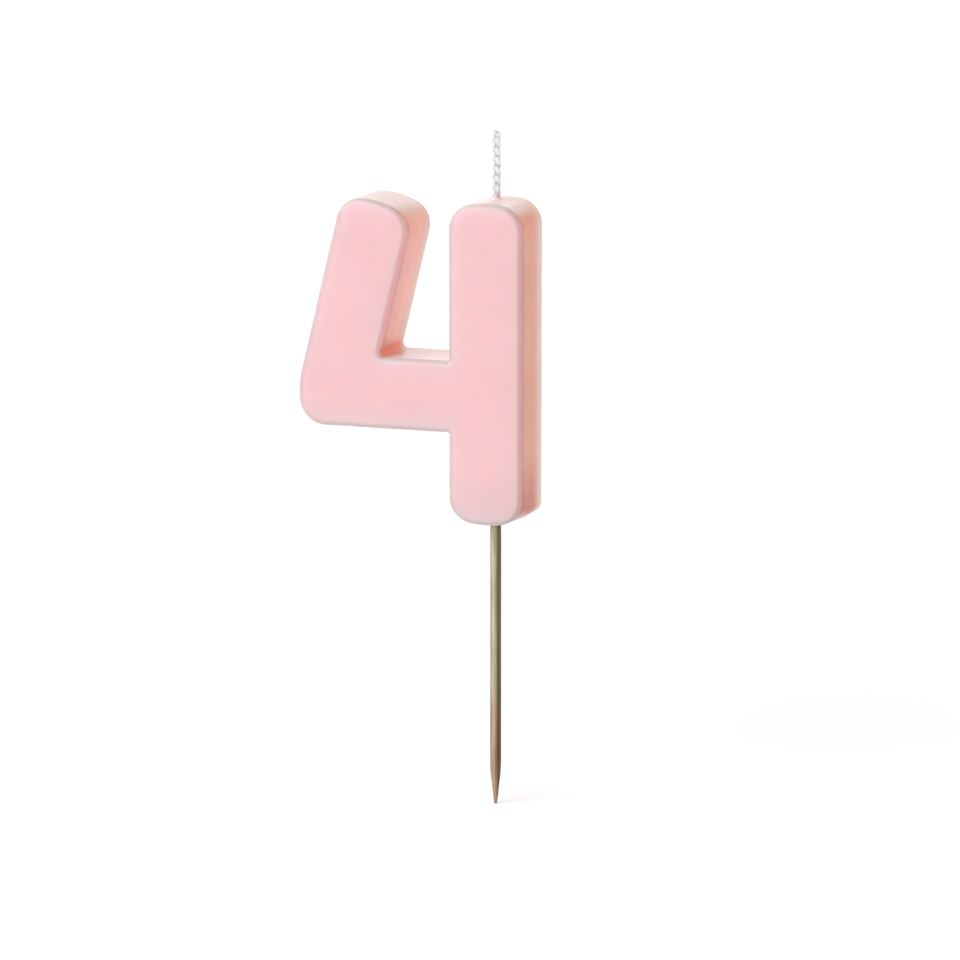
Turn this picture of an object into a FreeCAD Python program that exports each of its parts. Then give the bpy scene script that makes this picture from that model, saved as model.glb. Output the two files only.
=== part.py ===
import FreeCAD, Part
import math
import os

import Sketcher
from FreeCAD import Placement, Rotation, Vector

# Number birthday candle: a wax numeral 4 cast round a plaited cotton wick and a wooden pick.
#
# Frame, in millimetres: the origin is on the pick's axis where the pick enters the wax, at the
# lowest point of the numeral's stem.  +Z is up, +X runs from the arm towards the stem, and the
# numeral's face is on the -Y side, so it reads correctly to someone looking along +Y.
# Y = 0 is the middle of the numeral's thickness, where the wick and the pick are.

DIMENSIONS = (
    ("thickness", 13.0, "numeral, face to back"),
    ("stem_width", 13.5, "upright stem"),
    ("numeral_height", 57.4, "stem, lowest point to highest point"),
    ("crown_radius", 18.0, "domed ends of the stem and the arm"),
    ("corner_radius", 4.6, "corners of the domed ends"),
    ("bar_bottom", 16.4, "underside of the crossbar above the origin"),
    ("bar_top", 29.2, "top of the crossbar above the origin"),
    ("arm_width", 13.4, "slanted arm"),
    ("arm_lean", 13.8, "arm's lean from upright, in degrees"),
    ("arm_foot_reach", 26.94, "arm's centreline to the pick's axis, at the crossbar's top"),
    ("arm_length", 28.7, "arm's centreline from the crossbar's top to its end"),
    ("elbow_reach", 35.0, "elbow's outer side to the pick's axis"),
    ("elbow_radius", 4.9, "elbow's lower corner"),
    ("bend_radius", 12.0, "elbow's upper bend, from upright into the arm's slant"),
    ("arm_notch_radius", 1.0, "inside corner of the arm and the crossbar"),
    ("stem_notch_radius", 0.5, "inside corner of the crossbar's top and the stem"),
    ("under_notch_radius", 0.4, "inside corner under the crossbar"),
    ("face_rounding", 0.8, "edge of the face"),
    ("back_rounding", 1.1, "edge of the back"),
    ("wick_length", 50.0, "wick, from its lower end in the wax to its cut tip"),
    ("wick_exposed", 12.3, "wick above the wax"),
    ("wick_bore_radius", 0.82, "channel that the wick fills"),
    ("strand_radius", 0.25, "one strand of the plait"),
    ("plait_half_width", 0.52, "strand's swing from side to side"),
    ("plait_half_depth", 0.4, "strand's swing from front to back"),
    ("plait_pitch", 5.0, "length of one full plait repeat"),
    ("pick_radius", 1.0, "wooden pick's shaft"),
    ("pick_length", 65.0, "wooden pick, point to point"),
    ("pick_exposed", 52.4, "wooden pick below the wax"),
    ("pick_point_length", 6.3, "each point, from its end to where its cone meets the shaft"),
    ("pick_end_radius", 0.28, "blunt end of each point"),
    ("pick_end_rounding", 0.2, "rounded rim of the lower point's blunt end"),
    ("pick_shoulder_radius", 20.0, "blend from the shaft into the lower point"),
    ("pick_neck_radius", 0.97, "shaft where the upper point starts, inside the wax"),
    ("overrun", 1.0, "how far each cut starts outside the wax"),
)

PLAIT_STRANDS = 3
PLAIT_POINTS_PER_REPEAT = 12
ARC_SHARE_OF_RUN = 0.45
SAME_PLACE = 1e-4
VOLUME_TOLERANCE = 0.01
FULL_TURN = 360.0

# Sketcher's numbers for its own vertical axis and origin, and for the ends of an edge.
VERTICAL_AXIS = -2
SKETCH_ORIGIN = (-1, 1)
START, END, CENTRE = 1, 2, 3


def make_sheet(doc):
    """Put the driving dimensions in a spreadsheet, one alias each."""
    sheet = doc.addObject("Spreadsheet::Sheet", "dims")
    for row, (alias, value, meaning) in enumerate(DIMENSIONS, start=1):
        sheet.set(f"A{row}", meaning)
        sheet.set(f"B{row}", str(value))
        sheet.setAlias(f"B{row}", alias)
    doc.recompute()
    return sheet


def new_sketch(body, name):
    """Add a sketch on the body's XZ plane, with sketch x along +X and sketch y along +Z."""
    sketch = body.newObject("Sketcher::SketchObject", name)
    plane = next(part for part in body.Origin.OriginFeatures if part.Role == "XZ_Plane")
    sketch.AttachmentSupport = [(plane, "")]
    sketch.MapMode = "FlatFace"
    return sketch


def dimension(sketch, name, kind, where, formula):
    """Add a dimension whose value follows a formula of sheet cells."""
    value = float(sketch.evalExpression(formula))
    index = sketch.addConstraint(Sketcher.Constraint(kind, *where, value))
    sketch.renameConstraint(index, name)
    sketch.setExpression(f"Constraints.{name}", formula)


def join_ends(sketch, edges):
    """Make the edges a closed loop, each one's end on the next one's start."""
    for edge, following in zip(edges, edges[1:] + edges[:1]):
        sketch.addConstraint(Sketcher.Constraint("Coincident", edge, END, following, START))


def draw_profile(body, name, corners):
    """Draw a closed polygon whose corners are pairs of formulas for x and z."""
    sketch = new_sketch(body, name)
    points = [Vector(*(float(sketch.evalExpression(part)) for part in corner)) for corner in corners]
    edges = [
        sketch.addGeometry(Part.LineSegment(point, following))
        for point, following in zip(points, points[1:] + points[:1])
    ]
    join_ends(sketch, edges)
    for number, (edge, (across, up)) in enumerate(zip(edges, corners)):
        dimension(sketch, f"across_{number}", "DistanceX", (*SKETCH_ORIGIN, edge, START), across)
        dimension(sketch, f"up_{number}", "DistanceY", (*SKETCH_ORIGIN, edge, START), up)
    return sketch


def turn(body, kind, name, sketch):
    """Revolve a profile a full turn about the Z axis, adding or removing material."""
    feature = body.newObject(kind, name)
    feature.Profile = sketch
    feature.ReferenceAxis = (sketch, ["V_Axis"])
    feature.Angle = FULL_TURN
    body.Document.recompute()
    return feature


def round_edges(body, name, formula, wanted):
    """Fillet the edges of the body's last feature that the wanted test picks."""
    base = body.Tip
    picked = [f"Edge{n}" for n, edge in enumerate(base.Shape.Edges, start=1) if wanted(edge)]
    feature = body.newObject("PartDesign::Fillet", name)
    feature.Base = (base, picked)
    feature.setExpression("Radius", formula)
    body.Document.recompute()
    return feature


def upright_on(points):
    """Pick the edges that run straight through the thickness at the given outline points."""
    def wanted(edge):
        ends = [vertex.Point for vertex in edge.Vertexes]
        return len(ends) == 2 and all(
            any(math.hypot(end.x - point.x, end.z - point.y) < SAME_PLACE for point in points)
            for end in ends
        ) and abs(ends[0].y - ends[1].y) > SAME_PLACE
    return wanted


def lying_at_depth(depth):
    """Pick the edges that lie wholly at one y, such as the rim of the face."""
    def wanted(edge):
        return all(abs(vertex.Point.y - depth) < SAME_PLACE for vertex in edge.Vertexes)
    return wanted


def ring_at_height(height):
    """Pick the circles about the Z axis at one z."""
    def wanted(edge):
        return isinstance(edge.Curve, Part.Circle) and abs(edge.Curve.Center.z - height) < SAME_PLACE
    return wanted


def outline_corners(sheet):
    """Work out the numeral's sharp corners, as x and z."""
    half = sheet.stem_width / 2
    arm_half = sheet.arm_width / 2
    lean = math.radians(sheet.arm_lean)
    along = Vector(math.sin(lean), math.cos(lean))
    across = Vector(math.cos(lean), -math.sin(lean))
    arm_foot = Vector(-sheet.arm_foot_reach, sheet.bar_top)

    def crown_rise(half_width):
        return sheet.crown_radius - math.sqrt(sheet.crown_radius ** 2 - half_width ** 2)

    def on_arm(side, distance):
        return arm_foot + across * (side * arm_half) + along * distance

    edge_slide = arm_half * math.tan(lean)
    end_distance = sheet.arm_length - crown_rise(arm_half)
    outer = on_arm(-1, 0)
    bend_distance = (-sheet.elbow_reach - outer.x) / along.x
    return {
        "foot_right": Vector(half, crown_rise(half)),
        "head_right": Vector(half, sheet.numeral_height - crown_rise(half)),
        "head_left": Vector(-half, sheet.numeral_height - crown_rise(half)),
        "stem_notch": Vector(-half, sheet.bar_top),
        "arm_notch": on_arm(1, edge_slide),
        "arm_end_inner": on_arm(1, end_distance),
        "arm_end_outer": on_arm(-1, end_distance),
        "bend": on_arm(-1, bend_distance),
        "elbow": Vector(-sheet.elbow_reach, sheet.bar_bottom),
        "under_notch": Vector(-half, sheet.bar_bottom),
        "foot_left": Vector(-half, crown_rise(half)),
        "arm_foot": arm_foot,
        "arm_apex": arm_foot + along * sheet.arm_length,
        "arm_centre": arm_foot + along * (sheet.arm_length - sheet.crown_radius),
        "head_centre": Vector(0, sheet.numeral_height - sheet.crown_radius),
        "foot_centre": Vector(0, sheet.crown_radius),
    }


def draw_numeral_outline(body, sheet):
    """Draw the figure's outline with sharp corners and domed ends, anticlockwise."""
    sketch = new_sketch(body, "outline")
    at = outline_corners(sheet)

    def line(first, second):
        return sketch.addGeometry(Part.LineSegment(at[first], at[second]))

    def crown(centre, first, second):
        start, end = (at[name] - at[centre] for name in (first, second))
        circle = Part.Circle(at[centre], Vector(0, 0, 1), sheet.crown_radius)
        angles = math.atan2(start.y, start.x), math.atan2(end.y, end.x)
        return sketch.addGeometry(Part.ArcOfCircle(circle, *angles))

    stem_right = line("foot_right", "head_right")
    head = crown("head_centre", "head_right", "head_left")
    stem_left = line("head_left", "stem_notch")
    bar_top = line("stem_notch", "arm_notch")
    arm_inner = line("arm_notch", "arm_end_inner")
    arm_end = crown("arm_centre", "arm_end_inner", "arm_end_outer")
    arm_outer = line("arm_end_outer", "bend")
    elbow = line("bend", "elbow")
    bar_bottom = line("elbow", "under_notch")
    stem_lower = line("under_notch", "foot_left")
    foot = crown("foot_centre", "foot_left", "foot_right")
    centreline = line("arm_foot", "arm_apex")
    sketch.toggleConstruction(centreline)
    join_ends(sketch, [stem_right, head, stem_left, bar_top, arm_inner, arm_end, arm_outer,
                       elbow, bar_bottom, stem_lower, foot])

    for upright in (stem_right, stem_left, elbow, stem_lower):
        sketch.addConstraint(Sketcher.Constraint("Vertical", upright))
    for level in (bar_top, bar_bottom):
        sketch.addConstraint(Sketcher.Constraint("Horizontal", level))
    for slanted in (arm_inner, arm_outer):
        sketch.addConstraint(Sketcher.Constraint("Parallel", centreline, slanted))
    for dome in (head, foot):
        sketch.addConstraint(Sketcher.Constraint("PointOnObject", dome, CENTRE, VERTICAL_AXIS))
    sketch.addConstraint(Sketcher.Constraint("PointOnObject", arm_end, CENTRE, centreline))

    from_origin = {
        "stem_right_x": ("DistanceX", (stem_right, START), "dims.stem_width / 2"),
        "stem_left_x": ("DistanceX", (stem_left, END), "-dims.stem_width / 2"),
        "stem_lower_x": ("DistanceX", (stem_lower, START), "-dims.stem_width / 2"),
        "bar_top_z": ("DistanceY", (stem_left, END), "dims.bar_top"),
        "bar_bottom_z": ("DistanceY", (stem_lower, START), "dims.bar_bottom"),
        "elbow_x": ("DistanceX", (elbow, END), "-dims.elbow_reach"),
        "head_centre_z": ("DistanceY", (head, CENTRE), "dims.numeral_height - dims.crown_radius"),
        "foot_centre_z": ("DistanceY", (foot, CENTRE), "dims.crown_radius"),
        "arm_foot_x": ("DistanceX", (centreline, START), "-dims.arm_foot_reach"),
        "arm_foot_z": ("DistanceY", (centreline, START), "dims.bar_top"),
    }
    for name, (kind, point, formula) in from_origin.items():
        dimension(sketch, name, kind, (*SKETCH_ORIGIN, *point), formula)
    ends = (centreline, START, centreline, END)
    dimension(sketch, "arm_run", "DistanceX", ends, "dims.arm_length * sin(dims.arm_lean)")
    dimension(sketch, "arm_rise", "DistanceY", ends, "dims.arm_length * cos(dims.arm_lean)")
    for name, edge in (("inner", arm_inner), ("outer", arm_outer)):
        where = (edge, START, centreline)
        dimension(sketch, f"arm_{name}_offset", "Distance", where, "dims.arm_width / 2")
    for name, dome in (("head", head), ("foot", foot), ("arm_end", arm_end)):
        dimension(sketch, f"{name}_radius", "Radius", (dome,), "dims.crown_radius")
    where = (arm_end, CENTRE, centreline, END)
    dimension(sketch, "arm_end_centre", "Distance", where, "dims.crown_radius")
    body.Document.recompute()
    return sketch, at


def make_wax_numeral(doc, sheet):
    """The cast numeral: one piece of wax, bored for the wick and hollow where the pick sits."""
    body = doc.addObject("PartDesign::Body", "wax_numeral")
    sketch, at = draw_numeral_outline(body, sheet)
    pad = body.newObject("PartDesign::Pad", "slab")
    pad.Profile = sketch
    pad.SideType = "Symmetric"
    pad.setExpression("Length", "dims.thickness")
    doc.recompute()

    domed_ends = ("foot_right", "head_right", "head_left", "foot_left",
                  "arm_end_inner", "arm_end_outer")
    corner_groups = (
        ("end_corners", "dims.corner_radius", domed_ends),
        ("elbow_corner", "dims.elbow_radius", ("elbow",)),
        ("elbow_bend", "dims.bend_radius", ("bend",)),
        ("arm_notch", "dims.arm_notch_radius", ("arm_notch",)),
        ("stem_notch", "dims.stem_notch_radius", ("stem_notch",)),
        ("under_notch", "dims.under_notch_radius", ("under_notch",)),
    )
    for name, formula, corners in corner_groups:
        round_edges(body, name, formula, upright_on([at[corner] for corner in corners]))
    round_edges(body, "face_edge", "dims.face_rounding", lying_at_depth(-sheet.thickness / 2))
    round_edges(body, "back_edge", "dims.back_rounding", lying_at_depth(sheet.thickness / 2))

    wick_foot = "dims.numeral_height + dims.wick_exposed - dims.wick_length"
    past_top = "dims.numeral_height + dims.overrun"
    bore = draw_profile(body, "wick_bore_profile", (
        ("0", wick_foot),
        ("dims.wick_bore_radius", wick_foot),
        ("dims.wick_bore_radius", past_top),
        ("0", past_top),
    ))
    cut_out(body, "wick_bore", bore)
    socket = draw_profile(body, "pick_socket_profile", (
        ("0", "-dims.overrun"),
        ("dims.pick_radius", "-dims.overrun"),
        ("dims.pick_radius", "0"),
        *upper_point(),
    ))
    cut_out(body, "pick_socket", socket)
    return body


def cut_out(body, name, sketch):
    """Groove a profile out of the body, and make sure that it removed something."""
    before = body.Tip.Shape.Volume
    groove = turn(body, "PartDesign::Groove", name, sketch)
    if not groove.Shape.Volume < before:
        raise RuntimeError(f"{name} removed nothing")


def upper_point():
    """Profile corners of the pick's upper end, from its neck to its point, in the wax."""
    top = "dims.pick_length - dims.pick_exposed"
    return (
        ("dims.pick_neck_radius", f"{top} - dims.pick_point_length"),
        ("dims.pick_end_radius", top),
        ("0", top),
    )


def make_wooden_pick(doc, sheet):
    """The round wooden pick, pointed at both ends; its upper point is cast into the wax."""
    body = doc.addObject("PartDesign::Body", "wooden_pick")
    profile = draw_profile(body, "pick_profile", (
        ("0", "-dims.pick_exposed"),
        ("dims.pick_end_radius", "-dims.pick_exposed"),
        ("dims.pick_radius", "dims.pick_point_length - dims.pick_exposed"),
        ("dims.pick_radius", "0"),
        *upper_point(),
    ))
    turn(body, "PartDesign::Revolution", "turned_pick", profile)
    shoulder = sheet.pick_point_length - sheet.pick_exposed
    round_edges(body, "lower_shoulder", "dims.pick_shoulder_radius", ring_at_height(shoulder))
    round_edges(body, "lower_end", "dims.pick_end_rounding", ring_at_height(-sheet.pick_exposed))
    return body


def plait_points(sheet, strand):
    """Points along one strand of a flat plait, from z = 0 up to the wick's length.

    The phase starts half a step past a crossing, where the strand would run straight and
    three points would be in line.  The two end runs are upright, so that the cut is level.
    """
    last = round(sheet.wick_length / sheet.plait_pitch * PLAIT_POINTS_PER_REPEAT)
    half_step = 0.5 / PLAIT_POINTS_PER_REPEAT
    points = []
    for number in range(last + 1):
        swung = min(max(number, 1), last - 1)
        phase = math.tau * (swung / PLAIT_POINTS_PER_REPEAT + strand / PLAIT_STRANDS + half_step)
        side = sheet.plait_half_width * math.sin(phase)
        depth = sheet.plait_half_depth * math.sin(2 * phase)
        points.append(Vector(side, depth, sheet.wick_length * number / last))
    return points


def rounded_path(points):
    """Join points by straight runs, with a tangent arc in place of each inner point."""
    edges = []
    leaves = points[0]
    for before, point, after in zip(points, points[1:], points[2:]):
        back, ahead = before - point, after - point
        trim = ARC_SHARE_OF_RUN * min(back.Length, ahead.Length)
        back.normalize()
        ahead.normalize()
        arc_start, arc_end = point + back * trim, point + ahead * trim
        half_angle = back.getAngle(ahead) / 2
        inward = (back + ahead).normalize()
        centre_distance = trim / math.cos(half_angle)
        arc_radius = trim * math.tan(half_angle)
        arc_middle = point + inward * (centre_distance - arc_radius)
        edges.append(Part.LineSegment(leaves, arc_start).toShape())
        edges.append(Part.Arc(arc_start, arc_middle, arc_end).toShape())
        leaves = arc_end
    edges.append(Part.LineSegment(leaves, points[-1]).toShape())
    return Part.Wire(edges)


def make_wick_strand(doc, sheet, strand):
    """One cotton strand of the wick.  Its path leaves every plane, so no sketch can hold it."""
    path = rounded_path(plait_points(sheet, strand))
    first = path.Edges[0]
    heading = first.tangentAt(first.FirstParameter)
    ring = Part.Circle(path.Vertexes[0].Point, heading, sheet.strand_radius).toShape()
    tube = path.makePipeShell([Part.Wire(ring)], True, False)
    expected = math.pi * sheet.strand_radius ** 2 * path.Length
    if abs(tube.Volume - expected) > VOLUME_TOLERANCE * expected:
        raise RuntimeError(f"strand {strand + 1} has volume {tube.Volume}, not {expected}")
    feature = doc.addObject("Part::Feature", f"wick_strand_{strand + 1}")
    feature.Shape = tube
    wick_foot = sheet.numeral_height + sheet.wick_exposed - sheet.wick_length
    feature.Placement = Placement(Vector(0, 0, wick_foot), Rotation())
    return feature


def check_document(doc, pieces):
    """Stop if any object failed to build or any piece's shape is missing or broken."""
    for item in doc.Objects:
        if {"Invalid", "Error"} & set(item.State):
            raise RuntimeError(f"{item.Name} failed: {item.State}")
    for piece in pieces:
        if piece.Shape.isNull() or not piece.Shape.isValid():
            raise RuntimeError(f"{piece.Label} has no valid shape")


def main():
    doc = FreeCAD.newDocument("number_candle")
    sheet = make_sheet(doc)
    pieces = [make_wax_numeral(doc, sheet), make_wooden_pick(doc, sheet)]
    pieces += [make_wick_strand(doc, sheet, strand) for strand in range(PLAIT_STRANDS)]
    doc.recompute()
    check_document(doc, pieces)
    os.makedirs("parts", exist_ok=True)
    for piece in pieces:
        piece.Shape.exportStep(os.path.join("parts", f"{piece.Label}.step"))
        print(f"{piece.Label}: {piece.Shape.Volume:.3f} mm3, {len(piece.Shape.Solids)} solid")


main()
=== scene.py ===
"""Number birthday candle: pink wax numeral, plaited cotton wick and wooden pick."""
import math
import random

import bmesh
import bpy
import numpy as np
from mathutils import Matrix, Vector, noise
from mathutils.geometry import delaunay_2d_cdt


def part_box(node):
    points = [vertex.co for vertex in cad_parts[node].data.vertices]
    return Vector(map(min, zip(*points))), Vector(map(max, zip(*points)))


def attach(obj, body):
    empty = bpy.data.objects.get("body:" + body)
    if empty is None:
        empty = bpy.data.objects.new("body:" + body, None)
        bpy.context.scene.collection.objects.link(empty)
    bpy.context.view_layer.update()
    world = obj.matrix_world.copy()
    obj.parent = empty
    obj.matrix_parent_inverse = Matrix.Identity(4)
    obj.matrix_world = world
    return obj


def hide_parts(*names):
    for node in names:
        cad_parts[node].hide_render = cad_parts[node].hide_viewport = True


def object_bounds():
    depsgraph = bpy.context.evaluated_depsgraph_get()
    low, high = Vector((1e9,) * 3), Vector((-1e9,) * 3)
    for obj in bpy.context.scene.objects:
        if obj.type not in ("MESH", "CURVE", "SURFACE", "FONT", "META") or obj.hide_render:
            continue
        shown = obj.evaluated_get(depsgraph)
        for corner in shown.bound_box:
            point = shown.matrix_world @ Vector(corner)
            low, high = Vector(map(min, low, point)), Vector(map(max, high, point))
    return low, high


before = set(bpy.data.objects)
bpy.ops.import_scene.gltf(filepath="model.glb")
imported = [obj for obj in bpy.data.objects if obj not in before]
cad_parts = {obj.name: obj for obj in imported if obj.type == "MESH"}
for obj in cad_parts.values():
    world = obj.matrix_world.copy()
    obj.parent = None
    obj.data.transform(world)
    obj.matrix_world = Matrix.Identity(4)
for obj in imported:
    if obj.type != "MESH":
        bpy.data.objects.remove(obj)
cad_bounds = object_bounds()

MM = 0.001

# Camera, in degrees and millimetres: it looks at a point just above the crossbar's corner.
CAMERA_AZIMUTH = 18.47
CAMERA_ELEVATION = 11.26
CAMERA_DISTANCE = 900.0
CAMERA_RIGHT_OF_ORIGIN = -2.82
CAMERA_ABOVE_ORIGIN = 7.0
CAMERA_CLIP = (10.0, 100000.0)
SENSOR_WIDTH = 36.0
VIEW_WIDTH = 171.43

# Wax numeral's outline, in millimetres and degrees.
CROWN_RADIUS = 18.0
CORNER_RADIUS = 4.6
BAR_BOTTOM = 16.4
BAR_TOP = 29.2
ARM_WIDTH = 13.4
ARM_LEAN = 13.8
ARM_FOOT_REACH = 26.94
ARM_LENGTH = 28.7
ELBOW_RADIUS = 4.9
BEND_RADIUS = 12.0
ARM_NOTCH_RADIUS = 1.0
STEM_NOTCH_RADIUS = 0.5
UNDER_NOTCH_RADIUS = 0.4
FACE_ROUNDING = 0.8
BACK_ROUNDING = 1.1
BACK_FOOT_CORNER = 1.9
WIDENING_DEPTH = 5.0
ARM_SPREAD = 0.4

# Wax numeral's mesh and surface relief, in millimetres. SEAM_SPREAD and SEAM_RINGS are shares of
# the seam's width, and FACE_SHARE is the share of the half thickness where a face begins.
ARC_POINTS = 64
OUTLINE_STEP = 0.26
FINE_STEP = 0.1
FINE_REACH = 2.2
RESAMPLING_STEP = FINE_STEP / 4
WALL_STEP = 0.45
FACE_STEP = 0.5
ROUNDING_RINGS = 9
SEAM_WIDTH = 0.32
SEAM_DEPTH = 0.06
SEAM_SPREAD = 0.16
SEAM_RINGS = (-0.35, -0.2, -0.08, 0.0, 0.08, 0.2, 0.35, 0.5)
FACE_SHARE = 0.9
WAVE_HEIGHT = 0.05
WAVE_LENGTH = 9.0
WAVE_SEED = 1
RIPPLE_HEIGHT = 0.006
RIPPLE_LENGTH = 1.6
RIPPLE_SEED = 7
COLLAR_HEIGHT = 0.6
COLLAR_REACH = 0.7
COLLAR_STEEPNESS = 2
WICK_BORE = (0.78, 0.62)
BORE_SIDES = 64
SOCKET_GAP = 0.02
CUT_OVERRUN = 1.0

# Ranges over which the wax's tones of painted light and shade come in: how squarely a side faces right,
# up or down, from 0 to 1, and distances from an edge in millimetres. WALL_PALE is the share of the
# painted sheen that the walls keep.
FACING_RIGHT = (0.2, 0.9)
FACING_WARM = (0.65, 1.0)
FACING_UP = (0.2, 0.8)
FACING_DOWN = (0.2, 0.7)
PALE_REACH = 1.4
EDGE_SHADE_REACH = 2.6
WALL_PALE = 0.3
RIM_SPREAD = 0.15
RIM_FADE = 0.4

# Plaited wick, in millimetres. PLAIT_START is a share of the pitch, and TIP_TAPER and FIBRE_ROOTS
# are shares of a strand's radius.
STRANDS = 3
PLAIT_PITCH = 5.0
PLAIT_START = 1 / 24
STRAND_SWING = (0.27, 0.11)
STRAND_SIZE_CROSSING = 0.62
STRAND_SIZE_TURNING = 0.58
STRAND_STEP = 0.125
STRAND_SIDES = 30
YARNS = 5
YARN_RELIEF = 0.018
YARN_TWIST = 2.2
TIP_DROP = (0.3, 0.0, 0.6)
TIP_TAPER = 0.15
TIP_TAPER_LENGTH = 0.4
TIP_FIBRES = 9
FIBRE_SEED = 7
FIBRE_RADIUS = 0.022
FIBRE_LENGTH = (0.15, 0.6)
FIBRE_ROOTS = (0.2, 0.9)
FIBRE_SUNK = 0.2
FIBRE_LEAN = 0.4
FIBRE_CURL = 0.2
FIBRE_RINGS = 7
FIBRE_SIDES = 6

# Wooden pick, in millimetres. GRAIN_AROUND and the three after it scale the grain's noise.
PICK_RADIUS = 1.0
PICK_NECK_RADIUS = 0.97
PICK_END_RADIUS = 0.28
PICK_END_ROUNDING = 0.2
PICK_END_RINGS = 6
PICK_POINT_LENGTH = 6.3
PICK_SHOULDER = 1.2
PICK_SIDES = 120
PICK_STEP = 0.35
GRAIN_RELIEF = 0.012
GRAIN_AROUND = 3.1
GRAIN_ALONG = 0.02
GRAIN_FINE = 4
GRAIN_BROAD = 1.1
GRAIN_SINK = 0.9
GRAIN_SEED = 4

# Wax: linear colours. All but WAX_FACE and WAX_MOTTLE are painted light and shade, put into the colour.
WAX_FACE = (0.715, 0.43, 0.40)
# Painted sheen near the face's edges, but not the right-hand ones.
WAX_PAINTED_SHEEN = (0.65, 0.515, 0.495)
# Painted shade with an orange glow of light through the wax, on the sides that face right: deep on the
# stem, paler on the arm.
WAX_PAINTED_GLOW_STEM = (0.755, 0.365, 0.26)
WAX_PAINTED_GLOW_ARM = (0.94, 0.56, 0.475)
# Painted sheen on the back strip of the sides that face right.
WAX_BACK_SHEEN = (0.765, 0.64, 0.57)
# Painted sheen on the sides that face up.
WAX_TOP_SHEEN = (0.785, 0.63, 0.575)
# Painted light on the sides that face down: a paler, greyer pink.
WAX_UNDERSIDE_LIGHT = (0.68, 0.55, 0.51)
WAX_SHADE = (0.79, 0.80, 0.88)
# Painted shade near the face's right-hand and lower edges.
WAX_EDGE_SHADE = (0.91, 0.985, 0.97)
# Painted shade along the face's rounded edge: a dark outline, tinted by the way the edge faces.
WAX_RIM_SHADE = (0.50, 0.365, 0.34)
WAX_RIM_SHADE_TOP = (0.53, 0.46, 0.41)
WAX_RIM_SHADE_UNDER = (0.51, 0.425, 0.41)
WAX_RIM_SHADE_RIGHT = (0.69, 0.44, 0.45)
WAX_RIM_SHADE_ARM = (0.86, 0.53, 0.52)
# Painted shade in the seam's groove, lighter on the arm.
WAX_SEAM_SHADE = (0.52, 0.32, 0.33)
WAX_SEAM_SHADE_ARM = (0.80, 0.46, 0.43)
# Painted red glow of light caught in the notch between arm and bar.
WAX_NOTCH_GLOW = (1.0, 0.27, 0.16)
# Painted shade towards the bottom, deeper on the sides that face right.
WAX_LOW_SHADE = (0.92, 0.985, 0.975)
WAX_LOW_SHADE_RIGHT = (0.81, 0.57, 0.52)
WAX_MOTTLE = (0.97, 0.965, 0.96)

# Wax: where the colours run, in millimetres. Depths grow from the face at -6.5 to the back at 6.5.
SEAM_START = (-5.8, -5.7)
SEAM_END = (-5.6, -5.45)
SHADE_DEPTH = (-5.3, -3.9)
BACK_DEPTH = (-0.3, 4.8)
ARM_EDGE = (-12.0, -8.0)
LOW_HEIGHT = (2.0, 14.0)
# Reach and place of the painted glow in the notch between arm and bar.
POOL_REACH = (0.5, 2.3)
POOL_DEPTH = (2.5, 5.5)
POOL_RISE = 0.4
POOL_MIDDLE_DEPTH = 0.2
POOL_FLATNESS = 0.15

# Wax: finish. A noise is its scale per millimetre and its detail. Light scatters in the wax from
# WAX_THIN_REACH outwards, in millimetres from the wick's axis.
NOISE_RANGE = (0.3, 0.7)
WAX_MOTTLE_NOISE = (0.13, 4)
WAX_CLOUD_NOISE = (0.35, 3)
WAX_GRAIN_NOISE = (2.2, 5)
WAX_GRAIN_DEPTH = 0.02
WAX_ROUGHNESS = (0.34, 0.46)
WAX_REFRACTION = 1.43
WAX_SCATTER = (1.0, 0.35, 0.25)
WAX_SCATTER_DEPTH = 2.5
WAX_THIN_REACH = (1.3, 3.0)

# Wood: linear colours, by the streaks' noise and, as painted highlight and shade, by the place across
# the pick, from 0 at its left to 1 at its right. A stretch scales a noise along each axis, and heights are
# in millimetres.
WOOD_STREAKS = (
    (0.3, (0.205, 0.14, 0.075)),
    (0.48, (0.39, 0.30, 0.183)),
    (0.68, (0.52, 0.42, 0.285)),
)
# Painted highlight left of the middle and painted shade on the right, across the pick.
WOOD_PAINTED_SHADING = (
    (0.05, (0.62, 0.61, 0.60)),
    (0.30, (0.86, 0.85, 0.84)),
    (0.50, (1.0, 1.0, 1.0)),
    (0.66, (0.88, 0.85, 0.80)),
    (0.82, (0.30, 0.26, 0.19)),
    (1.0, (0.42, 0.37, 0.31)),
)
WOOD_SHADING_MIDDLE = 0.44
WOOD_SHADING_WANDER = 0.12
WOOD_WARM_END = (0.80, 0.645, 0.50)
WOOD_WARM_HEIGHT = (-44.0, -26.0)
# Painted shade where the pick goes into the wax.
WOOD_SHADE_AT_WAX = (0.80, 0.72, 0.66)
WOOD_SHADE_HEIGHT = (-2.2, -0.4)
WOOD_STREAK_STRETCH = (1, 1, 0.03)
WOOD_STREAK_NOISE = (3.0, 5)
WOOD_FIBRE_STRETCH = (1, 1, 0.06)
WOOD_FIBRE_NOISE = (9.0, 3)
WOOD_FIBRE_DEPTH = 0.03
WOOD_ROUGHNESS = (0.42, 0.62)

# Cotton: linear colours and finish. COTTON_RIGHT_REACH runs across the wick, and
# COTTON_SOAKED_HEIGHT is above the wax, both in millimetres.
COTTON_TONES = (
    (0.3, (0.65, 0.61, 0.555)),
    (0.7, (0.67, 0.63, 0.575)),
)
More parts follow.
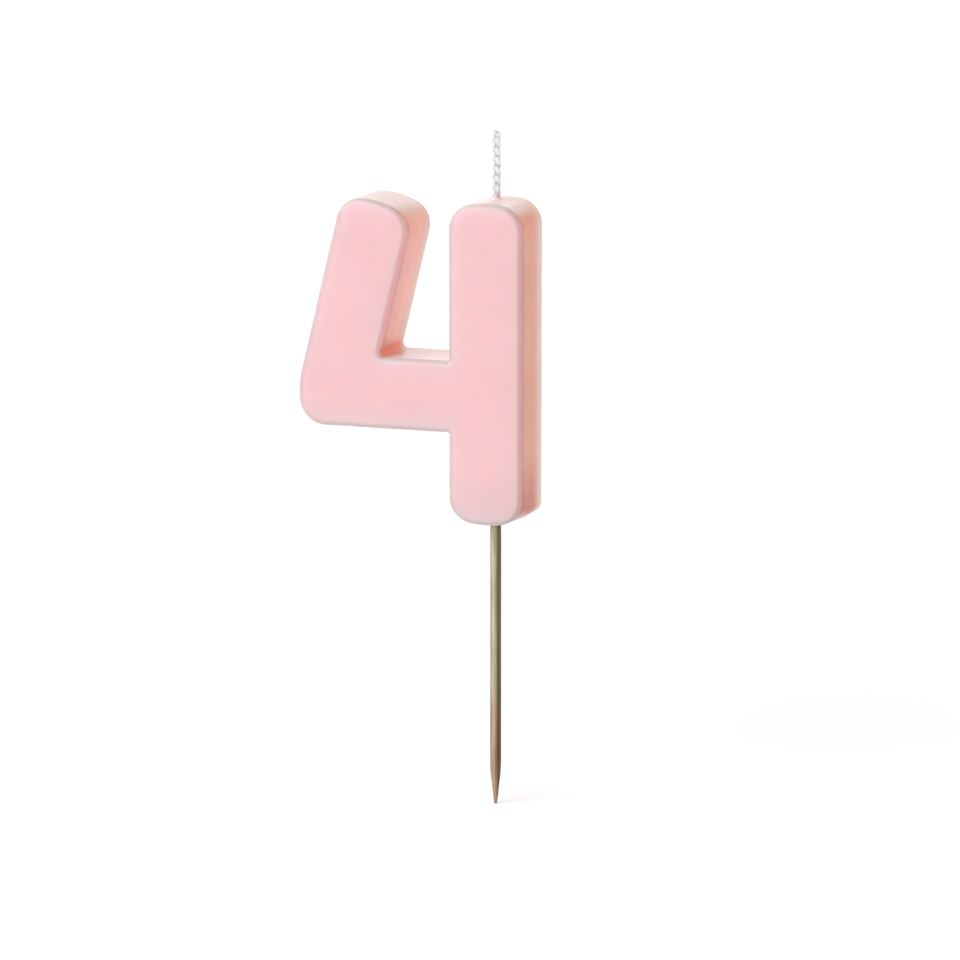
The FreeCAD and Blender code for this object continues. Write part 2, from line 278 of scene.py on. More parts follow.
# Painted light on the wick's shaded right side.
COTTON_PAINTED_FILL = (0.89, 0.91, 0.91)
COTTON_RIGHT_REACH = (0.1, 0.7)
COTTON_SOAKED = (0.80, 0.62, 0.58)
COTTON_SOAKED_HEIGHT = (0.8, 2.6)
COTTON_SOAKED_NOISE = (1.2, 2)
COTTON_FIBRE_STRETCH = (1, 1, 0.35)
COTTON_FIBRE_NOISE = (9.0, 4)
COTTON_FIBRE_DEPTH = 0.03
COTTON_ROUGHNESS = (0.9, 0.5)
COTTON_SCATTER = (1.0, 1.0, 1.0)
COTTON_SCATTER_DEPTH = 1.0

# Floor, in millimetres, and its finish.
FLOOR_REACH = 8000.0
FLOOR_COLOUR = (0.99, 0.99, 0.99)
FLOOR_ROUGHNESS = 0.9

# Soft lights: direction that each one stands in, its breadth in degrees, energy and colour.
WORLD_COLOUR = (1.0, 1.0, 1.0)
WORLD_STRENGTH = 0.02
LIGHTS = (
    ("key", (-0.6, -0.8, 0.35), 55, 4.66, (0.74, 0.84, 1.0)),
    ("top", (0.0, 0.0, 1.0), 90, 1.6, (1.0, 0.925, 0.84)),
    ("back", (-0.31, 0.93, 0.25), 55, 1.15, (0.84, 0.92, 1.0)),
    ("warm_side", (0.7, 0.7, 0.25), 55, 1.4, (1.0, 0.68, 0.55)),
)


def smooth(value, low, high):
    """Rise smoothly from 0 at low to 1 at high."""
    share = np.clip((value - low) / (high - low), 0.0, 1.0)
    return share * share * (3 - 2 * share)


def wobble(point, length, seed):
    """Smooth noise between about -1 and 1, with the given wavelength in millimetres."""
    return noise.noise(Vector(point) / length + Vector((seed, 2.3 * seed, 5.1 * seed)))


def add_piece(name, points, faces, replaced):
    """Make a smooth mesh from points in millimetres, which stands for a CAD node."""
    mesh = bpy.data.meshes.new(name)
    mesh.from_pydata((np.asarray(points) * MM).tolist(), [], faces)
    mesh.shade_smooth()
    piece = bpy.data.objects.new(name, mesh)
    bpy.context.scene.collection.objects.link(piece)
    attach(piece, "root")
    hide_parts(replaced)
    return piece


def corners_mm(node):
    """A CAD node's lowest and highest corners, in millimetres."""
    return [np.array(corner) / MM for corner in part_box(node)]


# ---------------------------------------------------------------- wax numeral

def arc(centre, radius, start, end):
    """Points along an arc, between two angles in radians."""
    angles = np.linspace(start, end, ARC_POINTS)
    return np.column_stack([centre[0] + radius * np.cos(angles), centre[1] + radius * np.sin(angles)])


def domed_end(half_width, corner_radius=CORNER_RADIUS):
    """A limb's end from its right side to its left, with its highest point at the origin."""
    inset = half_width - corner_radius
    rise = math.sqrt((CROWN_RADIUS - corner_radius) ** 2 - inset ** 2)
    turn = math.atan2(rise, inset)
    low = rise - CROWN_RADIUS
    return np.vstack([
        arc((inset, low), corner_radius, 0, turn),
        arc((0, -CROWN_RADIUS), CROWN_RADIUS, turn, math.pi - turn)[1:-1],
        arc((-inset, low), corner_radius, math.pi - turn, math.pi),
    ])


def rounded_corner(before, corner, after, radius):
    """The arc that rounds a corner of a polygon."""
    before, corner, after = (np.asarray(point, float) for point in (before, corner, after))
    back = (before - corner) / np.linalg.norm(before - corner)
    on = (after - corner) / np.linalg.norm(after - corner)
    half_angle = math.acos(back @ on) / 2
    middle = (back + on) / np.linalg.norm(back + on)
    centre = corner + middle * radius / math.sin(half_angle)
    ends = [corner + side * radius / math.tan(half_angle) - centre for side in (back, on)]
    start, end = (math.atan2(point[1], point[0]) for point in ends)
    end = start + (end - start + math.pi) % math.tau - math.pi
    return arc(centre, radius, start, end)


def wax_outline(low, high, foot_corner, arm_spread):
    """The numeral's outline, anticlockwise from the right side of the stem's top."""
    stem_half, arm_half = high[0], ARM_WIDTH / 2
    lean = math.radians(ARM_LEAN)
    along = np.array([math.sin(lean), math.cos(lean)])
    across = np.array([math.cos(lean), -math.sin(lean)])
    arm_foot = np.array([-ARM_FOOT_REACH, BAR_TOP])
    local = domed_end(arm_half + arm_spread / 2) + (arm_spread / 2, 0)
    arm_end = arm_foot + along * ARM_LENGTH + local[:, :1] * across + local[:, 1:] * along
    stem_end = domed_end(stem_half)

    arm_notch = arm_foot + ((arm_half + arm_spread) / math.cos(lean), 0)
    stem_notch = (-stem_half, BAR_TOP)
    under_notch = (-stem_half, BAR_BOTTOM)
    elbow = (low[0], BAR_BOTTOM)
    left_side = arm_foot - arm_half * across
    bend = left_side + along * (low[0] - left_side[0]) / along[0]
    return np.vstack([
        stem_end + (0, high[2]),
        rounded_corner((-stem_half, high[2]), stem_notch, arm_notch, STEM_NOTCH_RADIUS),
        rounded_corner(stem_notch, arm_notch, arm_end[0], ARM_NOTCH_RADIUS),
        arm_end,
        rounded_corner(arm_end[-1], bend, elbow, BEND_RADIUS),
        rounded_corner(bend, elbow, under_notch, ELBOW_RADIUS),
        rounded_corner(elbow, under_notch, (-stem_half, low[2]), UNDER_NOTCH_RADIUS),
        -domed_end(stem_half, foot_corner) + (0, low[2]),
    ])


def resample(loop, wanted, counted):
    """A loop's points at the wanted places, where its own points lie at the counted ones."""
    return np.column_stack([np.interp(wanted, counted, loop[:, axis]) for axis in (0, 1)])


def respace(loops, spots):
    """Space matching closed loops' points evenly, and closer together near the given spots."""
    loops = [np.vstack([loop, loop[:1]]) for loop in loops]
    steps = np.linalg.norm(np.diff(loops[0], axis=0), axis=1)
    travelled = np.r_[0, np.cumsum(steps)]
    even = np.append(np.arange(0, travelled[-1], RESAMPLING_STEP), travelled[-1])
    order = np.interp(even, travelled, np.arange(len(travelled)))
    dense = [resample(loop, order, np.arange(len(loop))) for loop in loops]
    near = np.min([np.linalg.norm(dense[0] - spot, axis=1) for spot in spots], axis=0)
    step = FINE_STEP + (OUTLINE_STEP - FINE_STEP) * smooth(near, FINE_REACH / 2, FINE_REACH)
    counted = np.r_[0, np.cumsum(np.diff(even) / step[:-1])]
    wanted = np.linspace(0, counted[-1], round(counted[-1]), endpoint=False)
    return [resample(loop, wanted, counted) for loop in dense]


def inward_normals(outline):
    """Unit vectors into the wax from an anticlockwise outline."""
    along = np.roll(outline, -1, axis=0) - np.roll(outline, 1, axis=0)
    along /= np.linalg.norm(along, axis=1)[:, None]
    return np.column_stack([-along[:, 1], along[:, 0]])


def wall_profile(half):
    """Inset and depth of each ring, from the rim of the face round to the rim of the back."""
    quarter = np.linspace(0, math.pi / 2, ROUNDING_RINGS)
    profile = [(FACE_ROUNDING * (1 - math.sin(turn)), -half + FACE_ROUNDING * (1 - math.cos(turn)))
               for turn in quarter]
    seam = -half + FACE_ROUNDING + SEAM_WIDTH / 2
    for share in SEAM_RINGS:
        profile.append((SEAM_DEPTH * math.exp(-(share / SEAM_SPREAD) ** 2), seam + share * SEAM_WIDTH))
    depth, wall_end = seam + SEAM_WIDTH, half - BACK_ROUNDING
    while depth < wall_end - WALL_STEP / 2:
        profile.append((0.0, depth))
        depth += FINE_STEP if abs(depth) < FINE_REACH / 2 else WALL_STEP
    profile += [(BACK_ROUNDING * (1 - math.cos(turn)), half - BACK_ROUNDING * (1 - math.sin(turn)))
                for turn in quarter]
    return profile


def fill_face(rim):
    """Fill the flat inside a rim with triangles, with points of its own so it can undulate."""
    low, high = rim.min(axis=0), rim.max(axis=0)
    row_step = FACE_STEP * math.sqrt(3) / 2
    rows = np.arange(low[1], high[1], row_step)
    columns = np.arange(low[0], high[0], FACE_STEP)
    grid = np.array([(x + (row % 2) * FACE_STEP / 2, z)
                     for row, z in enumerate(rows) for x in columns])
    clear = [np.linalg.norm(rim - point, axis=1).min() > FACE_STEP / 2 for point in grid]
    grid = grid[np.array(clear)]
    count = len(rim)
    border = [(number, (number + 1) % count) for number in range(count)]
    points = [Vector(point) for point in np.vstack([rim, grid])]
    inside_only, tolerance = 1, 1e-6
    _, _, faces, origins, _, _ = delaunay_2d_cdt(
        points, border, [list(range(count))], inside_only, tolerance)
    return grid, [[origins[vertex][0] for vertex in face] for face in faces]


def edge_tones(outline):
    """Strength of each tone of painted light and shade along the outline, by the way that the side faces
    there.

    Paleness, a painted sheen, lies near every edge of the face but the right-hand ones; painted shade
    near the right-hand and lower ones; warmth, a painted glow of light through the wax, on the sides
    that face right; and over and under, a painted sheen and painted light, on those that face up and down.
    """
    rightward, upward = -inward_normals(outline).T
    return {
        "pale": 1 - smooth(rightward, *FACING_RIGHT),
        "edge_shade": smooth(np.maximum(rightward, -upward), *FACING_RIGHT),
        "warm": smooth(rightward, *FACING_WARM),
        "over": smooth(upward, *FACING_UP),
        "under": smooth(-upward, *FACING_DOWN),
    }


def ring_shares(inset, depth, half):
    """Share of each tone of painted light and shade that reaches one ring of the wall."""
    thin = smooth(abs(depth), half - 2 * FACE_ROUNDING, half)
    wall = 1 - smooth(inset, 0.0, FACE_ROUNDING if depth < 0 else BACK_ROUNDING)
    pale = math.exp(-inset / PALE_REACH) * (WALL_PALE + (1 - WALL_PALE) * thin)
    return {"pale": pale, "edge_shade": thin, "warm": wall, "over": wall, "under": wall}


def wax_skin(outline, back_outline, half):
    """The numeral's closed skin before any relief: points, faces, and each point's tones of painted light
    and shade.

    The rim is a painted shade of its own, along the face's rounded edge.
    """
    profile = wall_profile(half)
    wall_start = -half + FACE_ROUNDING + SEAM_WIDTH
    count = len(outline)
    edges = edge_tones(outline)
    rim_reach = FACE_ROUNDING + RIM_SPREAD * ((1 - edges["over"]) * edges["pale"])
    tones = {name: [] for name in (*edges, "rim")}
    points, faces, rings = [], [], []
    for inset, depth in profile:
        share = np.clip((depth + half - FACE_ROUNDING) / WIDENING_DEPTH, 0, 1)
        loop = outline + (back_outline - outline) * share
        ring = loop + inward_normals(loop) * inset
        rings.append(ring)
        points += [(x, depth, z) for x, z in ring]
        shares = ring_shares(inset, depth, half)
        for name, along in edges.items():
            tones[name].append(along * shares[name])
        tones["rim"].append(smooth(rim_reach - inset, 0.0, RIM_FADE) * (depth < wall_start))
    for ring in range(len(profile) - 1):
        for number in range(count):
            here, there = ring * count + number, ring * count + (number + 1) % count
            faces.append((here, here + count, there + count, there))
    last = len(profile) - 1
    for ring, depth in ((0, -half), (last, half)):
        grid, triangles = fill_face(rings[ring])
        base = len(points)
        points += [(x, depth, z) for x, z in grid]
        away = np.linalg.norm(grid[:, None] - outline, axis=2)
        nearest, away = away.argmin(axis=1), away.min(axis=1)
        shares = {"pale": np.exp(-away / PALE_REACH), "edge_shade": np.exp(-away / EDGE_SHADE_REACH)}
        for name, along in edges.items():
            tones[name].append(along[nearest] * shares.get(name, 0))
        tones["rim"].append(smooth(rim_reach[nearest] - away, 0.0, RIM_FADE) * (depth < 0))
        for triangle in triangles:
            ids = [ring * count + v if v < count else base + v - count for v in triangle]
            faces.append(ids if ring == 0 else ids[::-1])
    return np.array(points), faces, {name: np.concatenate(parts) for name, parts in tones.items()}


def relieve(points, half, top):
    """Let the faces undulate a little, and draw wax up the wick where it leaves the top."""
    relieved = points.copy()
    for number, (x, y, z) in enumerate(points):
        flat = smooth(abs(y) / half, FACE_SHARE, 1.0)
        if flat > 0:
            sink = WAVE_HEIGHT * (0.5 + 0.5 * wobble((x, y, z), WAVE_LENGTH, WAVE_SEED))
            sink += RIPPLE_HEIGHT * (1 + wobble((x, y, z), RIPPLE_LENGTH, RIPPLE_SEED))
            relieved[number, 1] -= math.copysign(sink * flat, y)
        elif z > top - COLLAR_REACH:
            beyond = max(math.hypot(x / WICK_BORE[0], y / WICK_BORE[1]) - 1, 0) * WICK_BORE[0]
            relieved[number, 2] += COLLAR_HEIGHT * math.exp(-COLLAR_STEEPNESS * beyond / COLLAR_REACH)
    return relieved


def lathe(profile, sides, relief=None):
    """Points and faces of a closed body turned about Z, from radius and height pairs."""
    points, faces = [(0, 0, profile[0][1])], []
    for radius, height in profile:
        for side in range(sides):
            angle = math.tau * side / sides
            size = radius + (relief(angle, height, radius) if relief else 0)
            points.append((size * math.cos(angle), size * math.sin(angle), height))
    points.append((0, 0, profile[-1][1]))
    top = len(points) - 1
    last = 1 + (len(profile) - 1) * sides
    for side in range(sides):
        following = (side + 1) % sides
        faces.append((0, 1 + following, 1 + side))
        faces.append((top, last + side, last + following))
        for ring in range(len(profile) - 1):
            base = 1 + ring * sides
            faces.append((base + side, base + following,
                          base + sides + following, base + sides + side))
    return np.array(points), faces


def cut(piece, points, faces):
    """Take a closed shape out of a piece, and drop the needless points left along the cut."""
    mesh = bpy.data.meshes.new("cutter")
    mesh.from_pydata((points * MM).tolist(), [], faces)
    cutter = bpy.data.objects.new("cutter", mesh)
    bpy.context.scene.collection.objects.link(cutter)
    modifier = piece.modifiers.new("cut", "BOOLEAN")
    modifier.operation = "DIFFERENCE"
    modifier.solver = "EXACT"
    modifier.object = cutter
    evaluated = piece.evaluated_get(bpy.context.evaluated_depsgraph_get())
    result = bpy.data.meshes.new_from_object(evaluated)
    piece.modifiers.clear()
    piece.data = result
    surface = bmesh.new()
    surface.from_mesh(result)
    needless = [vertex for vertex in surface.verts if len(vertex.link_edges) == 2]
    bmesh.ops.dissolve_verts(surface, verts=needless)
    surface.to_mesh(result)
    surface.free()
    result.shade_smooth()
    bpy.data.objects.remove(cutter)


def make_wax():
    """The casting, with its tones of painted light and shade, its channel for the wick and its socket for
    the pick.
    """
    low, high = corners_mm("wax_numeral")
    half = high[1]
    spots = [(0, low[2]), (0, high[2]), (-high[0], BAR_TOP), (-high[0], BAR_BOTTOM)]
    face_outline = wax_outline(low, high, CORNER_RADIUS, 0)
    back_outline = wax_outline(low, high, BACK_FOOT_CORNER, ARM_SPREAD)
    outlines = respace([face_outline, back_outline], [np.array(spot) for spot in spots])
    points, faces, tones = wax_skin(*outlines, half)
    wax = add_piece("wax_casting", relieve(points, half, high[2]), faces, "wax_numeral")
    for name, values in tones.items():
        wax.data.attributes.new(name, "FLOAT", "POINT").data.foreach_set("value", values)

    wick_foot = corners_mm("wick_strand_1")[0][2]
    bore, sides = lathe([(1, wick_foot), (1, high[2] + 2 * COLLAR_HEIGHT)], BORE_SIDES)
    bore[:, 0] *= WICK_BORE[0]
    bore[:, 1] *= WICK_BORE[1]
    cut(wax, bore, sides)
    pick_top = corners_mm("wooden_pick")[1][2]
    socket = [(radius + SOCKET_GAP, height) for radius, height in upper_end(pick_top)]
    mouth = (PICK_RADIUS + SOCKET_GAP, low[2] - CUT_OVERRUN)
    cut(wax, *lathe([mouth] + socket, BORE_SIDES))
    wax.data.materials.append(wax_material())


# ---------------------------------------------------------------- wooden pick

def upper_end(top):
    """Radius and height pairs of the pick's upper end, which the wax holds."""
    shoulder = top - PICK_POINT_LENGTH
    return [(PICK_RADIUS, shoulder - PICK_SHOULDER), (PICK_NECK_RADIUS, shoulder),
            (PICK_END_RADIUS, top)]


def soft_limit(value, limit, width):
    """The lower of a value and a limit, with the corner between them rounded over a width."""
    return value - width * math.log1p(math.exp((value - limit) / width))


def lower_end(bottom):
    """Radius and height pairs of the pick's blunt point, from its end up to the shaft."""
    rim = PICK_END_RADIUS - PICK_END_ROUNDING
    turns = np.linspace(0, math.pi / 2, PICK_END_RINGS)
    point = [(rim + PICK_END_ROUNDING * math.sin(t), bottom + PICK_END_ROUNDING * (1 - math.cos(t)))
             for t in turns]
    slope = (PICK_RADIUS - PICK_END_RADIUS) / PICK_POINT_LENGTH
    rises = np.arange(PICK_END_ROUNDING + PICK_STEP, PICK_POINT_LENGTH + PICK_SHOULDER, PICK_STEP)
    for rise in rises:
        straight = PICK_END_RADIUS + slope * (rise - PICK_END_ROUNDING)
        point.append((soft_limit(straight, PICK_RADIUS, slope * PICK_SHOULDER / 2), bottom + rise))
    return point


def grain(angle, height, radius):
    """How far the pick's surface stands out or in at a place, in millimetres."""
    around = Vector((GRAIN_AROUND * math.cos(angle), GRAIN_AROUND * math.sin(angle), GRAIN_ALONG * height))
    fine = noise.noise(around * GRAIN_FINE + Vector((GRAIN_SEED, 0, 0)))
    broad = noise.noise(around * GRAIN_BROAD + Vector((0, GRAIN_SEED, 0)))
    return GRAIN_RELIEF * (fine + broad - GRAIN_SINK) * radius


def make_pick():
    """The pick, turned with its grain."""
    low, high = corners_mm("wooden_pick")
    end, point = upper_end(high[2]), lower_end(low[2])
    shaft = [(PICK_RADIUS, z) for z in np.arange(point[-1][1] + PICK_STEP, end[0][1], PICK_STEP)]
    points, faces = lathe(point + shaft + end, PICK_SIDES, grain)
    pick = add_piece("bamboo_pick", points, faces, "wooden_pick")
    pick.data.materials.append(wood_material())


# ---------------------------------------------------------------- plaited wick

def strand_frame(strand, height, foot):
    """Centre of a strand at a height, and how near it is to the outside of a turn, 0 to 1."""
    phase = math.tau * ((height - foot) / PLAIT_PITCH + strand / STRANDS + PLAIT_START)
    centre = np.array([STRAND_SWING[0] * math.sin(phase), STRAND_SWING[1] * math.sin(2 * phase), height])
    return centre, abs(math.sin(phase))


def tube(centres, sizes, sides, relief):
    """Points and faces of a closed tube along a path, with its sections square to the path."""
    points, faces = [], []
    along = np.gradient(np.array(centres), axis=0)
    travelled = 0.0
    for number, (centre, forward) in enumerate(zip(centres, along)):
        if number:
            travelled += np.linalg.norm(centres[number] - centres[number - 1])
        forward = forward / np.linalg.norm(forward)
        across = np.cross((0, 1, 0), forward)
        across /= np.linalg.norm(across)
        over = np.cross(forward, across)
        for side in range(sides):
            angle = math.tau * side / sides
            size = sizes[number] + relief(angle, travelled)
            points.append(centre + size * (math.cos(angle) * across + math.sin(angle) * over))
    points += [centres[0], centres[-1]]
    foot, tip = len(points) - 2, len(points) - 1
    last = (len(centres) - 1) * sides
    for side in range(sides):
        following = (side + 1) % sides
        faces.append((foot, following, side))
        faces.append((tip, last + side, last + following))
        for ring in range(0, last, sides):
            faces.append((ring + side, ring + following, ring + sides + following, ring + sides + side))
    return points, faces


def yarns(angle, travelled):
    """Depth, below zero, of the grooves between a strand's twisted yarns."""
    groove = 1 - abs(math.sin(YARNS / 2 * (angle + math.tau * travelled / YARN_TWIST)))
    return -YARN_RELIEF * groove ** 2


def loose_fibre(tip, size, chance):
    """Points and faces of one fibre that stands out of a strand's cut tip."""
    angle, reach = chance.uniform(0, math.tau), chance.uniform(*FIBRE_ROOTS) * size
    root = tip + reach * np.array([math.cos(angle), math.sin(angle), 0]) - (0, 0, FIBRE_SUNK)
    lean = np.array([chance.uniform(-FIBRE_LEAN, FIBRE_LEAN), chance.uniform(-FIBRE_LEAN, FIBRE_LEAN), 1.0])
    length = chance.uniform(*FIBRE_LENGTH) + FIBRE_SUNK
    curl = np.array([chance.uniform(-FIBRE_CURL, FIBRE_CURL), chance.uniform(-FIBRE_CURL, FIBRE_CURL), 0])
    path = [root + lean * length * t + curl * t * t for t in np.linspace(0, 1, FIBRE_RINGS)]
    return tube(path, [FIBRE_RADIUS] * len(path), FIBRE_SIDES, lambda *_: 0)


def make_strand(number, chance, cotton):
    """One strand of the plait, with the loose fibres at its tip."""
    name = f"wick_strand_{number}"
    low, high = corners_mm(name)
    foot, tip = low[2], high[2] - TIP_DROP[number - 1]
    heights = np.linspace(foot, tip, round((tip - foot) / STRAND_STEP))
    frames = [strand_frame(number, height, foot) for height in heights]
    centres = [centre for centre, _ in frames]
    taper = 1 - TIP_TAPER * smooth(heights, tip - TIP_TAPER_LENGTH, tip)
    sizes = [(STRAND_SIZE_CROSSING + (STRAND_SIZE_TURNING - STRAND_SIZE_CROSSING) * turning) * share
             for (_, turning), share in zip(frames, taper)]
    points, faces = tube(centres, sizes, STRAND_SIDES, yarns)
    for _ in range(TIP_FIBRES):
        fibre, sides = loose_fibre(centres[-1], sizes[-1], chance)
        base = len(points)
        points += fibre
        faces += [tuple(base + vertex for vertex in face) for face in sides]
    strand = add_piece(f"cotton_strand_{number}", points, faces, name)
    strand.data.materials.append(cotton)


def make_wick():
    """The three strands, which share one material."""
    cotton = cotton_material(corners_mm("wax_numeral")[1][2])
    chance = random.Random(FIBRE_SEED)
    for number in range(1, STRANDS + 1):
        make_strand(number, chance, cotton)


# ---------------------------------------------------------------- materials

class Shading:
    """A material's nodes. Each method adds one kind of node and gives back what comes out of it."""

    def __init__(self, name):
        self.material = bpy.data.materials.new(name)
        self.material.use_nodes = True
        self.nodes = self.material.node_tree.nodes
        self.links = self.material.node_tree.links

    def feed(self, socket, value):
        """Link an input to another node, or give it a value or a colour of its own."""
        if isinstance(value, bpy.types.NodeSocket):
            self.links.new(value, socket)
        elif socket.type == "RGBA":
            socket.default_value = (*value, 1)
        else:
            socket.default_value = value

    def surface(self, name, value):
        """Feed one of the surface shader's own inputs."""
        self.feed(self.nodes["Principled BSDF"].inputs[name], value)

    def place(self, stretch=(1, 1, 1)):
        """Object coordinates in millimetres, stretched along each axis."""
        position = self.nodes.new("ShaderNodeTexCoord")
        mapping = self.nodes.new("ShaderNodeMapping")
        mapping.inputs["Scale"].default_value = [share / MM for share in stretch]
        self.feed(mapping.inputs["Vector"], position.outputs["Object"])
        return mapping.outputs["Vector"]

    def axes(self, vector):
        """A vector's three parts."""
        split = self.nodes.new("ShaderNodeSeparateXYZ")
        self.feed(split.inputs["Vector"], vector)
        return split.outputs["X"], split.outputs["Y"], split.outputs["Z"]

    def vector(self, operation, output, *values):
        """Arithmetic on vectors, with the name of the output wanted."""
        node = self.nodes.new("ShaderNodeVectorMath")
        node.operation = operation
        for socket, value in zip(node.inputs, values):
            self.feed(socket, value)
        return node.outputs[output]

    def combine(self, operation, *values):
        """Arithmetic on numbers."""
        node = self.nodes.new("ShaderNodeMath")
        node.operation = operation
        for socket, value in zip(node.inputs, values):
            self.feed(socket, value)
        return node.outputs["Value"]

    def attribute(self, name):
        """One of the tones of painted light and shade kept in the mesh."""
        node = self.nodes.new("ShaderNodeAttribute")
        node.attribute_name = name
        return node.outputs["Fac"]

    def noise(self, vector, scale, detail):
        """Noise between 0 and 1."""
        texture = self.nodes.new("ShaderNodeTexNoise")
        self.feed(texture.inputs["Scale"], scale)
        self.feed(texture.inputs["Detail"], detail)
        self.feed(texture.inputs["Vector"], vector)
        return texture.outputs["Fac"]

    def remap(self, value, source, target=(0.0, 1.0)):
        """Move a value smoothly from one range to another."""
        node = self.nodes.new("ShaderNodeMapRange")
        node.interpolation_type = "SMOOTHSTEP"
        for name, number in zip(("From Min", "From Max", "To Min", "To Max"), (*source, *target)):
            self.feed(node.inputs[name], number)
        self.feed(node.inputs["Value"], value)
        return node.outputs["Result"]

    def fall(self, value, source):
        """Fall smoothly from 1 to 0 over a range."""
        return self.remap(value, source, (1.0, 0.0))

    def ramp(self, value, stops):
        """Colour from (position, colour) stops."""
        node = self.nodes.new("ShaderNodeValToRGB")
        elements = node.color_ramp.elements
        while len(elements) < len(stops):
            elements.new(0.5)
        for element, (position, colour) in zip(elements, stops):
            element.position = position
            element.color = (*colour, 1)
        self.feed(node.inputs["Fac"], value)
        return node.outputs["Color"]

    def mix(self, share, first, second, kind="MIX"):
        """A share of the second colour over the first."""
        node = self.nodes.new("ShaderNodeMix")
        node.data_type = "RGBA"
        node.blend_type = kind
        first_colour, second_colour = (socket for socket in node.inputs if socket.type == "RGBA")
        self.feed(node.inputs["Factor"], share)
        self.feed(first_colour, first)
        self.feed(second_colour, second)
        return next(socket for socket in node.outputs if socket.type == "RGBA")

    def tint(self, share, colour, by):
        """A colour multiplied by another, by a share."""
        return self.mix(share, colour, by, "MULTIPLY")

    def bump(self, height, depth):
        """Bump the surface by a 0 to 1 height, with its full depth in millimetres."""
        node = self.nodes.new("ShaderNodeBump")
        self.feed(node.inputs["Distance"], depth * MM)
        self.feed(node.inputs["Strength"], 1.0)
        self.feed(node.inputs["Height"], height)
        self.surface("Normal", node.outputs["Normal"])


def painted_notch_glow(shading, where, depth):
    """Share of a painted red glow in the notch between arm and bar, which fades outwards and to the back.
    """
    lean = math.radians(ARM_LEAN)
    notch = (-ARM_FOOT_REACH + ARM_WIDTH / 2 / math.cos(lean), POOL_MIDDLE_DEPTH, BAR_TOP + POOL_RISE)
    flat = shading.vector("MULTIPLY", "Vector", where, (1, POOL_FLATNESS, 1))
    away = shading.vector("DISTANCE", "Value", flat, notch)
    return shading.combine("MULTIPLY", shading.fall(depth, POOL_DEPTH), shading.fall(away, POOL_REACH))


def wax_material():
    """Wax whose colour follows the tones of painted light and shade kept in its mesh, and its depth behind
    the face.
    """
    wax = Shading("pink_wax")
    where = wax.place()
    across, depth, height = wax.axes(where)
    pale, over, under = (wax.attribute(name) for name in ("pale", "over", "under"))
    facing_right = wax.attribute("warm")
    on_arm = wax.fall(across, ARM_EDGE)
    behind_seam = wax.remap(depth, SEAM_END)
    in_seam = wax.combine("MULTIPLY", wax.remap(depth, SEAM_START), wax.fall(depth, SEAM_END))
    before_back = wax.combine("MULTIPLY", wax.fall(depth, BACK_DEPTH), behind_seam)
    # Where the painted shade and glow lie: sides that face right, from behind the seam to the back strip.
    warm = wax.combine("MULTIPLY", facing_right, before_back)
    back = wax.combine("MULTIPLY", facing_right, wax.remap(depth, BACK_DEPTH))
    shade = wax.combine("MULTIPLY", facing_right, wax.fall(depth, SHADE_DEPTH))
    # Painted red glow in the notch between arm and bar.
    notch_glow = wax.combine("MULTIPLY", behind_seam, painted_notch_glow(wax, where, depth))
    low = wax.fall(height, LOW_HEIGHT)

    # Painted sheen near the face's edges but the right-hand ones, fading onto the walls.
    colour = wax.mix(pale, WAX_FACE, WAX_PAINTED_SHEEN)
    # Painted sheen on the back strip of the sides that face right.
    colour = wax.mix(back, colour, WAX_BACK_SHEEN)
    # Painted sheen on the sides that face up.
    colour = wax.mix(over, colour, WAX_TOP_SHEEN)
    # Painted light on the sides that face down.
    colour = wax.mix(under, colour, WAX_UNDERSIDE_LIGHT)
    # Painted shade and glow of light through the wax on the sides that face right.
    colour = wax.mix(warm, colour, wax.mix(on_arm, WAX_PAINTED_GLOW_STEM, WAX_PAINTED_GLOW_ARM))
    colour = wax.tint(shade, colour, WAX_SHADE)
    # Painted shade near the right-hand and lower edges.
    colour = wax.tint(wax.attribute("edge_shade"), colour, WAX_EDGE_SHADE)
    # Painted shade along the face's rounded edge.
    rim_shade = wax.mix(over, WAX_RIM_SHADE, WAX_RIM_SHADE_TOP)
    rim_shade = wax.mix(under, rim_shade, WAX_RIM_SHADE_UNDER)
    rim_shade = wax.mix(facing_right, rim_shade, wax.mix(on_arm, WAX_RIM_SHADE_RIGHT, WAX_RIM_SHADE_ARM))
    colour = wax.mix(wax.attribute("rim"), colour, rim_shade)
    arm_side = wax.combine("MULTIPLY", on_arm, facing_right)
    # Painted shade in the seam's groove.
    colour = wax.mix(in_seam, colour, wax.mix(arm_side, WAX_SEAM_SHADE, WAX_SEAM_SHADE_ARM))
    # Painted red glow in the notch between arm and bar.
    colour = wax.mix(notch_glow, colour, WAX_NOTCH_GLOW)
    # Painted shade towards the bottom, deeper on the sides that face right.
    colour = wax.tint(low, colour, WAX_LOW_SHADE)
    colour = wax.tint(wax.combine("MULTIPLY", low, warm), colour, WAX_LOW_SHADE_RIGHT)
    mottle = wax.remap(wax.noise(where, *WAX_MOTTLE_NOISE), NOISE_RANGE)
    wax.surface("Base Color", wax.tint(mottle, colour, WAX_MOTTLE))

    clouds = wax.noise(where, *WAX_CLOUD_NOISE)
    wax.surface("Roughness", wax.remap(clouds, NOISE_RANGE, WAX_ROUGHNESS))
    wax.bump(wax.noise(where, *WAX_GRAIN_NOISE), WAX_GRAIN_DEPTH)
    wax.surface("IOR", WAX_REFRACTION)
    from_axis = wax.vector("LENGTH", "Value", wax.place((1, 1, 0)))
    wax.surface("Subsurface Weight", wax.remap(from_axis, WAX_THIN_REACH))
    wax.surface("Subsurface Radius", WAX_SCATTER)
    wax.surface("Subsurface Scale", WAX_SCATTER_DEPTH * MM)
    return wax.material


